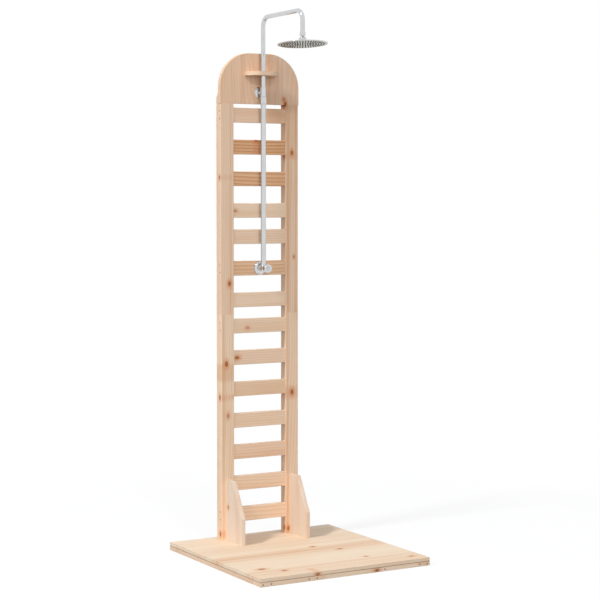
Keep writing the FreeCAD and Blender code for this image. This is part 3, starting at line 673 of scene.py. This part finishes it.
def make_column(chrome):
    """Lower riser and its lock nut, then the bracket and the arm."""
    riser_low, riser_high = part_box("lower_riser")
    axis = middle_of("lower_riser")
    riser = [(RISER_RADIUS, 0), (RISER_RADIUS, (riser_high.z - riser_low.z) / MM)]
    turned("lower_riser_tube", riser, chrome, "stand", ["lower_riser"],
           facing(Vector((axis.x, axis.y, riser_low.z)), UP))
    nut_low, nut_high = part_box("lock_nut")
    height = (nut_high.z - nut_low.z) / MM
    outline = [(RISER_RADIUS + FIT_GAP, 0), (RISER_RADIUS + 0.5, 0)]
    outline += arc((RISER_RADIUS + 0.7, 9.0), 2.7, -75, 0, 4)
    outline += [(LOCK_NUT_RADIUS, 11.0), (LOCK_NUT_RADIUS - 0.5, 11.5), (LOCK_NUT_RADIUS, 12.0)]
    outline += arc((LOCK_NUT_RADIUS - 1.2, height - 1.2), 1.2, 0, 90, 5)
    outline += [(PIPE_RADIUS + FIT_GAP, height)]
    turned("lock_nut_turned", outline, chrome, "riser_nut", ["lock_nut"],
           facing(Vector((axis.x, axis.y, nut_low.z)), UP))
    make_bracket(chrome, axis)
    make_arm(chrome)


def make_bracket(chrome, axis):
    """Sleeve round the pipe, with its stem, and the flange on the board."""
    low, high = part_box("bracket_sleeve")
    half = (high.z - low.z) / MM / 2
    middle = Vector((axis.x, axis.y, (low.z + high.z) / 2))
    outline = [(PIPE_RADIUS + FIT_GAP, -half)]
    outline += arc((SLEEVE_RADIUS - SMALL_EDGE, SMALL_EDGE - half), SMALL_EDGE, -90, 0, 4)
    outline += arc((SLEEVE_RADIUS - SMALL_EDGE, half - SMALL_EDGE), SMALL_EDGE, 0, 90, 4)
    outline += [(PIPE_RADIUS + FIT_GAP, half)]
    flange_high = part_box("bracket_flange")[1]
    reach = (flange_high.y - middle.y) / MM
    stem = [(STEM_RADIUS, 0), (STEM_RADIUS, reach - 8.5)]
    stem += arc((STEM_RADIUS + 1.5, reach - 8.5), 1.5, 180, 90, 4)
    stem += [(STEM_RADIUS, reach - 7.0), (STEM_RADIUS, reach - 1.0)]
    finished("bracket_sleeve_turned",
             [turned_mesh(outline, True),
              moved(turned_mesh(stem, False), facing(Vector((0, 0, 0)), BACK))],
             chrome, "stand", ["bracket_sleeve"], Matrix.Translation(middle))
    dome = [(STEM_RADIUS + FIT_GAP, 0), (FLANGE_RADIUS - 0.3, 0), (FLANGE_RADIUS, 0.4),
            (FLANGE_RADIUS, 1.6), (FLANGE_RADIUS - 0.5, FLANGE_DOME_START)]
    dome_width = FLANGE_RADIUS - STEM_RADIUS - 3.2
    for step in range(FLANGE_DOME_STEPS + 1):
        angle = math.radians(90 * step / FLANGE_DOME_STEPS)
        dome.append((STEM_RADIUS + 2.0 + dome_width * math.cos(angle),
                     FLANGE_DOME_START + FLANGE_DOME_HEIGHT * math.sin(angle)))
    dome.append((STEM_RADIUS + FIT_GAP, FLANGE_DOME_START + FLANGE_DOME_HEIGHT))
    turned("bracket_flange_turned", dome, chrome, "stand", ["bracket_flange"],
           facing(Vector((middle.x, flange_high.y, middle.z)), FRONT), True)


def make_arm(chrome):
    """The sliding pipe, bent twice by a right angle, with its bore."""
    low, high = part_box("upper_pipe")
    bend = ARM_BEND_RADIUS * MM
    top = high.z - PIPE_RADIUS * MM
    rear = middle_of("lower_riser").y
    front = middle_of("swivel_ball").y
    route = [(Vector((0, rear, low.z)), 0.0)]
    for quarter, centre in ((0, rear - bend), (1, front + bend)):
        for step in range(BEND_STEPS + 1):
            turn = math.radians(90 * (quarter + step / BEND_STEPS))
            outward = Vector((0, math.cos(turn), math.sin(turn)))
            route.append((Vector((0, centre, top - bend)) + outward * bend, turn))
    nut_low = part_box("arm_nut")[0]
    route.append((Vector((0, front, nut_low.z + ARM_END_IN_NUT * MM)), math.pi))
    angles = [2 * math.pi * index / PIPE_SIDES for index in range(PIPE_SIDES)]
    skins = []
    for radius in (PIPE_RADIUS, PIPE_BORE):
        rings = []
        for place, turn in route:
            matrix = Matrix.Translation(place) @ Matrix.Rotation(turn, 4, "X")
            rings.append([matrix @ Vector((radius * MM * math.cos(angle),
                                           radius * MM * math.sin(angle), 0))
                          for angle in angles])
        skins.append(rings)
    outer, inner = skins
    finished("upper_pipe_bent", [skin_rings(outer + inner[::-1], True)], chrome, "arm",
             ["upper_pipe"])


# ---------------------------------------------------------------- valve
def make_valve(chrome, brass, cap_plastic):
    """Body with threaded inlet and riser boss, rosette, neck, knob and cap."""
    valve_z = middle_of("valve_rosette").z
    seat_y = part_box("valve_rosette")[1].y
    toward_front = facing(Vector((0, seat_y, valve_z)), FRONT)
    station = (seat_y - middle_of("lower_riser").y) / MM
    body_low, body_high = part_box("valve_body")
    length = (seat_y - body_low.y) / MM
    tail = (body_high.y - seat_y) / MM
    outline = [(0, -tail), (INLET_RADIUS - 1.0, -tail)]
    turns = int((tail - THREAD_END) / THREAD_PITCH)
    for turn in range(turns):
        start = -tail + 1.0 + turn * THREAD_PITCH
        outline.append((INLET_RADIUS - THREAD_DEPTH, start))
        outline.append((INLET_RADIUS, start + 0.5 * THREAD_PITCH))
    outline += [(INLET_RADIUS - THREAD_DEPTH, -THREAD_END), (INLET_RADIUS, 1.0 - THREAD_END),
                (INLET_RADIUS, 0), (VALVE_BODY_RADIUS, 0), (VALVE_BODY_RADIUS, 14.5),
                (VALVE_BODY_RADIUS - 0.4, 14.9), (VALVE_BODY_RADIUS, 15.3)]
    outline += arc((VALVE_BODY_RADIUS - VALVE_BODY_EDGE, length - VALVE_BODY_EDGE), VALVE_BODY_EDGE,
                   0, 90, 6)
    outline += [(0, length)]
    boss = [(BOSS_RADIUS, 0)]
    boss += arc((BOSS_RADIUS - SMALL_EDGE, BOSS_HEIGHT - SMALL_EDGE), SMALL_EDGE, 0, 90, 4)
    boss += [(RISER_RADIUS, BOSS_HEIGHT)]
    finished("valve_body_turned",
             [turned_mesh(outline, False),
              moved(turned_mesh(boss, False), facing(Vector((0, 0, station * MM)), BACK))],
             chrome, "stand", ["valve_body"], toward_front)
    dome = [(VALVE_BODY_RADIUS + FIT_GAP, 0), (ROSETTE_RADIUS - 0.4, 0), (ROSETTE_RADIUS, 0.4),
            (ROSETTE_RADIUS, ROSETTE_RIM)]
    for step in range(ROSETTE_DOME_STEPS + 1):
        angle = math.radians(90 * step / ROSETTE_DOME_STEPS)
        dome.append((VALVE_BODY_RADIUS + 0.6 + ROSETTE_DOME_WIDTH * math.cos(angle),
                     ROSETTE_RIM + ROSETTE_DOME_HEIGHT * math.sin(angle)))
    dome.append((VALVE_BODY_RADIUS + FIT_GAP, ROSETTE_RIM + ROSETTE_DOME_HEIGHT))
    turned("valve_rosette_turned", dome, chrome, "stand", ["valve_rosette"],
           toward_front, True)
    neck_front = (seat_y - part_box("valve_cartridge")[0].y) / MM
    neck = [(NECK_RADIUS, length - 1.0), (NECK_RADIUS, neck_front - 4.0),
            (NECK_GROOVE_RADIUS, neck_front - 3.6), (NECK_GROOVE_RADIUS, neck_front - 3.0),
            (NECK_RADIUS, neck_front - 2.6), (NECK_RADIUS, neck_front), (0, neck_front)]
    turned("valve_neck_turned", neck, chrome, "stand", ["valve_cartridge"], toward_front)
    knob_low, knob_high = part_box("valve_knob")
    back = (seat_y - knob_high.y) / MM
    face = (seat_y - knob_low.y) / MM
    knob = [(0, back), (KNOB_RADIUS - 5.0, back)]
    knob += arc((KNOB_RADIUS - KNOB_BACK_EDGE, back + KNOB_BACK_EDGE), KNOB_BACK_EDGE, -90, 0, 6)
    knob += arc((KNOB_RADIUS - KNOB_FRONT_EDGE, face - KNOB_FRONT_EDGE), KNOB_FRONT_EDGE,
                0, 90, 8)
    knob += [(KNOB_RADIUS - 5.5, face), (KNOB_RADIUS - 8.6, face - 0.5),
             (KNOB_RADIUS - 9.4, face - 1.2), (0, face - 1.2)]
    turned("valve_knob_turned", knob, chrome, "valve",
           ["valve_knob", "valve_spindle"], toward_front)
    cap = [(7.6, face - 1.3)]
    cap += arc((6.4, face - 1.2), 1.2, 0, 90, 5)
    cap += [(5.0, face - 0.3), (2.5, face - 0.8), (0, face - 1.0)]
    turned("knob_cap_turned", cap, cap_plastic, "valve", ["knob_cap"], toward_front)
    dress("inlet_locknut", brass)


# ---------------------------------------------------------------- swivel and rain head
def make_swivel(chrome):
    """Nut at the arm's end, and the ball on its neck."""
    ball = middle_of("swivel_ball")
    nut_low, nut_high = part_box("arm_nut")
    collar_centre = ball_centre()
    bottom = (nut_low.z - collar_centre.z) / MM
    top = (nut_high.z - collar_centre.z) / MM
    nut = [(5.4, bottom), (9.6, bottom)]
    nut += arc((10.6, bottom + 1.2), 1.2, -90, 0, 5)
    nut += [(11.8, bottom + 3.6), (11.4, bottom + 4.0), (11.8, bottom + 4.4)]
    nut += arc((10.8, top - 1.0), 1.0, 0, 90, 5)
    nut += [(PIPE_RADIUS, top)]
    place = Matrix.Translation(Vector((ball.x, ball.y, collar_centre.z)))
    turned("arm_nut_turned", nut, chrome, "arm", ["arm_nut"], place)
    sphere = [(0, -BALL_RADIUS)] + arc((0, 0), BALL_RADIUS, -86, 53, 28)
    sphere += arc((BALL_NECK_RADIUS + BALL_NECK_FILLET, 7.6), BALL_NECK_FILLET, 220, 180, 3)
    sphere += [(BALL_NECK_RADIUS, bottom + 2.5)]
    turned("swivel_ball_turned", sphere, chrome, "swivel", ["swivel_ball"], place)


def ball_centre():
    """Centre of the swivel's ball, from the lowest point of its solid."""
    low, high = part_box("swivel_ball")
    middle = (low + high) / 2
    tip_rise = BALL_RADIUS * MM * math.cos(BALL_TIP_ANGLE)
    return Vector((middle.x, middle.y, low.z + tip_rise))


def make_head(chrome, plate, rubber):
    """Collar, shell, spray face and nozzles, tilted as the head hangs at rest."""
    tilted = Matrix.Translation(ball_centre()) @ Matrix.Rotation(-HEAD_TILT, 4, "X")
    collar = [*COLLAR_FOOT, *arc((12.7, 1.7), 2.8, 0, 55, 5), *arc((9.6, 6.3), 1.2, 60, 90, 3),
              *COLLAR_BORE]
    turned("swivel_collar_turned", collar, chrome, "head",
           ["swivel_collar", "ball_seat"], tilted, True)
    shell = [(HEAD_RADIUS - 2.1, -21.5), (HEAD_RADIUS - 0.9, -21.5)]
    shell += arc((HEAD_RADIUS - 1.6, -19.9), 1.6, -60, 60, 8)
    shell += [(HEAD_RADIUS - 5, -17.9), (60, -15.8), (24, -13.1)]
    shell += arc((HUB_RADIUS + 3.0, -10.0), 3.0, 260, 180, 6)
    shell += arc((HUB_RADIUS - 0.8, -6.3), 0.8, 0, 90, 4)
    shell += [(8.0, -5.5)]
    turned("head_shell_turned", shell, chrome, "head", ["head_shell"], tilted)
    face = [(0, -21.3), (30, -21.3), (30.6, -21.1), (31.2, -21.3), (HEAD_RADIUS - 4.5, -21.3),
            (HEAD_RADIUS - 3.9, -20.9), (HEAD_RADIUS - 3.3, -21.3), (HEAD_RADIUS - 2.4, -21.3),
            (HEAD_RADIUS - 2.3, -20.0)]
    turned("spray_face_turned", face, plate, "head", ["spray_face"], tilted)
    down = tilted.to_3x3() @ Vector((0, 0, -1))
    meshes = []
    for ring in range(NOZZLE_RINGS + 1):
        count = max(1, NOZZLE_RING_STEP * ring)
        for index in range(count):
            angle = 2 * math.pi * index / count
            reach = NOZZLE_RING_SPACING * ring * MM
            place = tilted @ Vector((reach * math.cos(angle), reach * math.sin(angle),
                                     NOZZLE_SEAT * MM))
            meshes.append(moved(turned_mesh(NOZZLE_OUTLINE, False, NOZZLE_SIDES),
                                facing(place, down)))
    finished("nozzles_moulded", meshes, rubber, "head", ["nozzles"])


# ---------------------------------------------------------------- screws
def screw_head_mesh():
    """A countersunk head, its top at the origin and facing Z, with a cross recess."""
    curve = bpy.data.curves.new("screw_outline", "CURVE")
    curve.dimensions = "2D"
    curve.fill_mode = "BOTH"
    radius = SCREW_HEAD_RADIUS * MM
    arm = CROSS_REACH * radius
    half = CROSS_HALF_WIDTH * radius
    angles = [2 * math.pi * step / SCREW_SIDES for step in range(SCREW_SIDES)]
    circle = [(radius * math.cos(angle), radius * math.sin(angle)) for angle in angles]
    cross = [(arm, half), (half, half), (half, arm), (-half, arm), (-half, half), (-arm, half),
             (-arm, -half), (-half, -half), (-half, -arm), (half, -arm), (half, -half),
             (arm, -half)]
    for corners in (circle, cross):
        spline = curve.splines.new("POLY")
        spline.points.add(len(corners) - 1)
        for point, (x, y) in zip(spline.points, corners):
            point.co = (x, y, 0, 1)
        spline.use_cyclic_u = True
    curve.extrude = SCREW_RECESS_DEPTH * MM / 2
    helper = bpy.data.objects.new("screw_outline", curve)
    data = bpy.data.meshes.new_from_object(helper)
    mesh = bmesh.new()
    mesh.from_mesh(data)
    bmesh.ops.translate(mesh, vec=(0, 0, -SCREW_RECESS_DEPTH * MM / 2), verts=mesh.verts)
    bpy.data.objects.remove(helper)
    bpy.data.curves.remove(curve)
    bpy.data.meshes.remove(data)
    floor_depth = SCREW_RECESS_DEPTH * 0.98
    floor = [(SCREW_HEAD_RADIUS * 0.9, -floor_depth), (0, -floor_depth)]
    below = turned_mesh(floor, False, SCREW_FLOOR_SIDES)
    part = bpy.data.meshes.new("screw_floor")
    below.to_mesh(part)
    below.free()
    mesh.from_mesh(part)
    bpy.data.meshes.remove(part)
    return mesh


def make_screws(steel):
    """A head with a cross recess on the wider end of each screw."""
    pattern = screw_head_mesh()
    for group in ("rung_screws", "frame_screws", "stand_screws", "head_screws"):
        meshes = []
        for points in solids_of(group):
            low = Vector([min(point[axis] for point in points) for axis in range(3)])
            high = Vector([max(point[axis] for point in points) for axis in range(3)])
            size = high - low
            long_axis = max(range(3), key=lambda axis: size[axis])
            middle = (low + high) / 2
            near_low = [p for p in points if p[long_axis] < low[long_axis] + END_DEPTH]
            near_high = [p for p in points if p[long_axis] > high[long_axis] - END_DEPTH]
            spread_low = max((p - middle).length for p in near_low)
            spread_high = max((p - middle).length for p in near_high)
            direction = Vector((0, 0, 0))
            direction[long_axis] = 1.0 if spread_high > spread_low else -1.0
            head = middle + direction * (size[long_axis] / 2 - SCREW_SINK * MM)
            turn = Matrix.Rotation(SCREW_TURN * len(meshes), 4, "Z")
            meshes.append(moved(pattern.copy(), facing(head, direction) @ turn))
        finished(group + "_heads", meshes, steel, "stand", [group])
    pattern.free()


# ---------------------------------------------------------------- stage
WHITE = srgb(255, 255, 255)
FLOOR_SIZE = 60.0
FLOOR_SPECK = srgb(253, 253, 253)
FLOOR_SPECK_STRETCH = (40.0, 40.0, 40.0)
FLOOR_ROUGHNESS = 0.9
FLOOR_BOUNCE = srgb(140, 140, 140)
FLOOR_FADE_START = 1.3
FLOOR_FADE_END = 2.6
FLOOR_FADE_LEAST = 0.80
SKY_LOW = srgb(172, 174, 178)
SKY_HIGH = srgb(184, 186, 190)
LAMP_TARGET = Vector((0, 0.1, 1.0))
LAMP_DISTANCE = 24.0
# name, way to the lamp, size, light that a facing surface gets, shows in gloss
LAMPS = (
    ("key", (-0.656, -0.114, 0.743), 3.2, 0.57, True),
    ("front", (-0.19, -0.95, 0.16), 10.0, 0.22, False),
    ("front_spot", (-0.19, -0.826, 0.53), 3.0, 0.15, False),
    ("left_fill", (-0.97, -0.10, 0.20), 13.0, 0.13, False),
)


def shown_rays(graph):
    """1 for rays that show the background: from the camera, in metal and through glass."""
    rays = graph.node("ShaderNodeLightPath").outputs
    shown = graph.math("MAXIMUM", rays["Is Camera Ray"], rays["Is Glossy Ray"])
    return graph.math("MAXIMUM", shown, rays["Is Transmission Ray"])


def make_floor():
    """White paper that keeps the object's shadow and fades into the backdrop."""
    bpy.ops.mesh.primitive_plane_add(size=FLOOR_SIZE, location=(0, 0, 0))
    floor = bpy.context.active_object
    floor.name = "floor"
    graph = Graph("floor_paper")
    shown = shown_rays(graph)
    speckle = graph.noise(graph.place(), FLOOR_SPECK_STRETCH, 2.0)
    paper = graph.mix(graph.smooth(speckle, 0.3, 0.7), WHITE, FLOOR_SPECK)
    graph.feed(graph.shader.inputs["Base Color"], graph.mix(shown, FLOOR_BOUNCE, paper))
    graph.shader.inputs["Roughness"].default_value = FLOOR_ROUGHNESS
    graph.shader.inputs["Specular IOR Level"].default_value = 0.0
    reach = graph.vector_math("LENGTH", graph.place())
    fade = graph.math("MULTIPLY", shown, graph.smooth(reach, FLOOR_FADE_START, FLOOR_FADE_END,
                                                      FLOOR_FADE_LEAST, 1.0))
    backdrop = graph.node("ShaderNodeEmission")
    blend = graph.node("ShaderNodeMixShader")
    graph.feed(blend.inputs[0], fade)
    graph.feed(blend.inputs[1], graph.shader.outputs[0])
    graph.feed(blend.inputs[2], backdrop.outputs[0])
    graph.feed(graph.tree.nodes["Material Output"].inputs[0], blend.outputs[0])
    floor.data.materials.append(graph.material)


def make_sky():
    """White for the camera and in metal and glass, a soft even sky for the light."""
    world = bpy.data.worlds.new("studio")
    bpy.context.scene.world = world
    world.use_nodes = True
    graph = Graph.of_tree(world.node_tree)
    way = graph.node("ShaderNodeTexCoord").outputs["Generated"]
    height = graph.split(way)["Z"]
    light = graph.mix(graph.smooth(height, 0.0, 1.0), SKY_LOW, SKY_HIGH)
    graph.feed(graph.tree.nodes["Background"].inputs["Color"],
               graph.mix(shown_rays(graph), light, WHITE))


def make_lamps():
    """Square lamps; only the key lamp shows in glossy surfaces."""
    for name, way, size, light, in_gloss in LAMPS:
        lamp = bpy.data.lights.new(name, "AREA")
        lamp.size = size
        lamp.energy = light * (math.pi * LAMP_DISTANCE) ** 2
        holder = bpy.data.objects.new(name, lamp)
        toward = Vector(way).normalized()
        holder.location = LAMP_TARGET + toward * LAMP_DISTANCE
        holder.rotation_euler = toward.to_track_quat("Z", "Y").to_euler()
        holder.visible_glossy = in_gloss
        bpy.context.scene.collection.objects.link(holder)


def make_camera():
    """The photograph's view, with the picture shifted a little."""
    camera = bpy.data.cameras.new("camera")
    camera.sensor_width = SENSOR_WIDTH
    camera.lens = FOCAL_PIXELS / IMAGE_SIZE * SENSOR_WIDTH
    camera.shift_y = CAMERA_SHIFT_PIXELS / IMAGE_SIZE
    camera.clip_end = CAMERA_REACH
    holder = bpy.data.objects.new("camera", camera)
    holder.location = CAMERA_PLACE
    holder.rotation_euler = (math.pi / 2 - CAMERA_PITCH, 0, -CAMERA_AZIMUTH)
    bpy.context.scene.collection.objects.link(holder)
    bpy.context.scene.camera = holder
    bpy.context.scene.view_settings.view_transform = "Standard"


def main():
    chrome = metal("chrome", srgb(210, 211, 213), low_roughness=0.05, high_roughness=0.10,
                   seed=1.0)
    steel = metal("zinc_steel", srgb(142, 136, 127), low_roughness=0.26, high_roughness=0.40,
                  seed=4.0, brushed=(400.0, 400.0, 400.0), bump=0.08)
    brass = metal("brass", srgb(206, 178, 110), low_roughness=0.20, high_roughness=0.34,
                  seed=6.0, brushed=(200.0, 200.0, 200.0), bump=0.05)
    plate = metal("satin_plate", srgb(222, 224, 220), low_roughness=0.38, high_roughness=0.50,
                  seed=8.0, brushed=(300.0, 300.0, 300.0), bump=0.05)
    plate.node_tree.nodes["Principled BSDF"].inputs["Metallic"].default_value = PLATE_METALLIC
    rubber = moulded("nozzle_rubber", srgb(96, 98, 94), roughness=0.55, seed=1.0)
    seal = moulded("seal_rubber", srgb(42, 42, 44), roughness=0.6, seed=2.0)
    plastic = moulded("inner_plastic", srgb(222, 221, 216), roughness=0.42, seed=3.0)
    cap_plastic = moulded("cap_plastic", srgb(226, 228, 233), roughness=0.16, seed=4.0,
                          grain=300.0)
    dress_wood()
    dress("gland_ring", seal)
    dress("guide_bush", plastic)
    dress("bracket_bolt", steel)
    make_column(chrome)
    make_valve(chrome, brass, cap_plastic)
    make_swivel(chrome)
    make_head(chrome, plate, rubber)
    make_screws(steel)
    make_floor()
    make_sky()
    make_lamps()
    make_camera()


main()
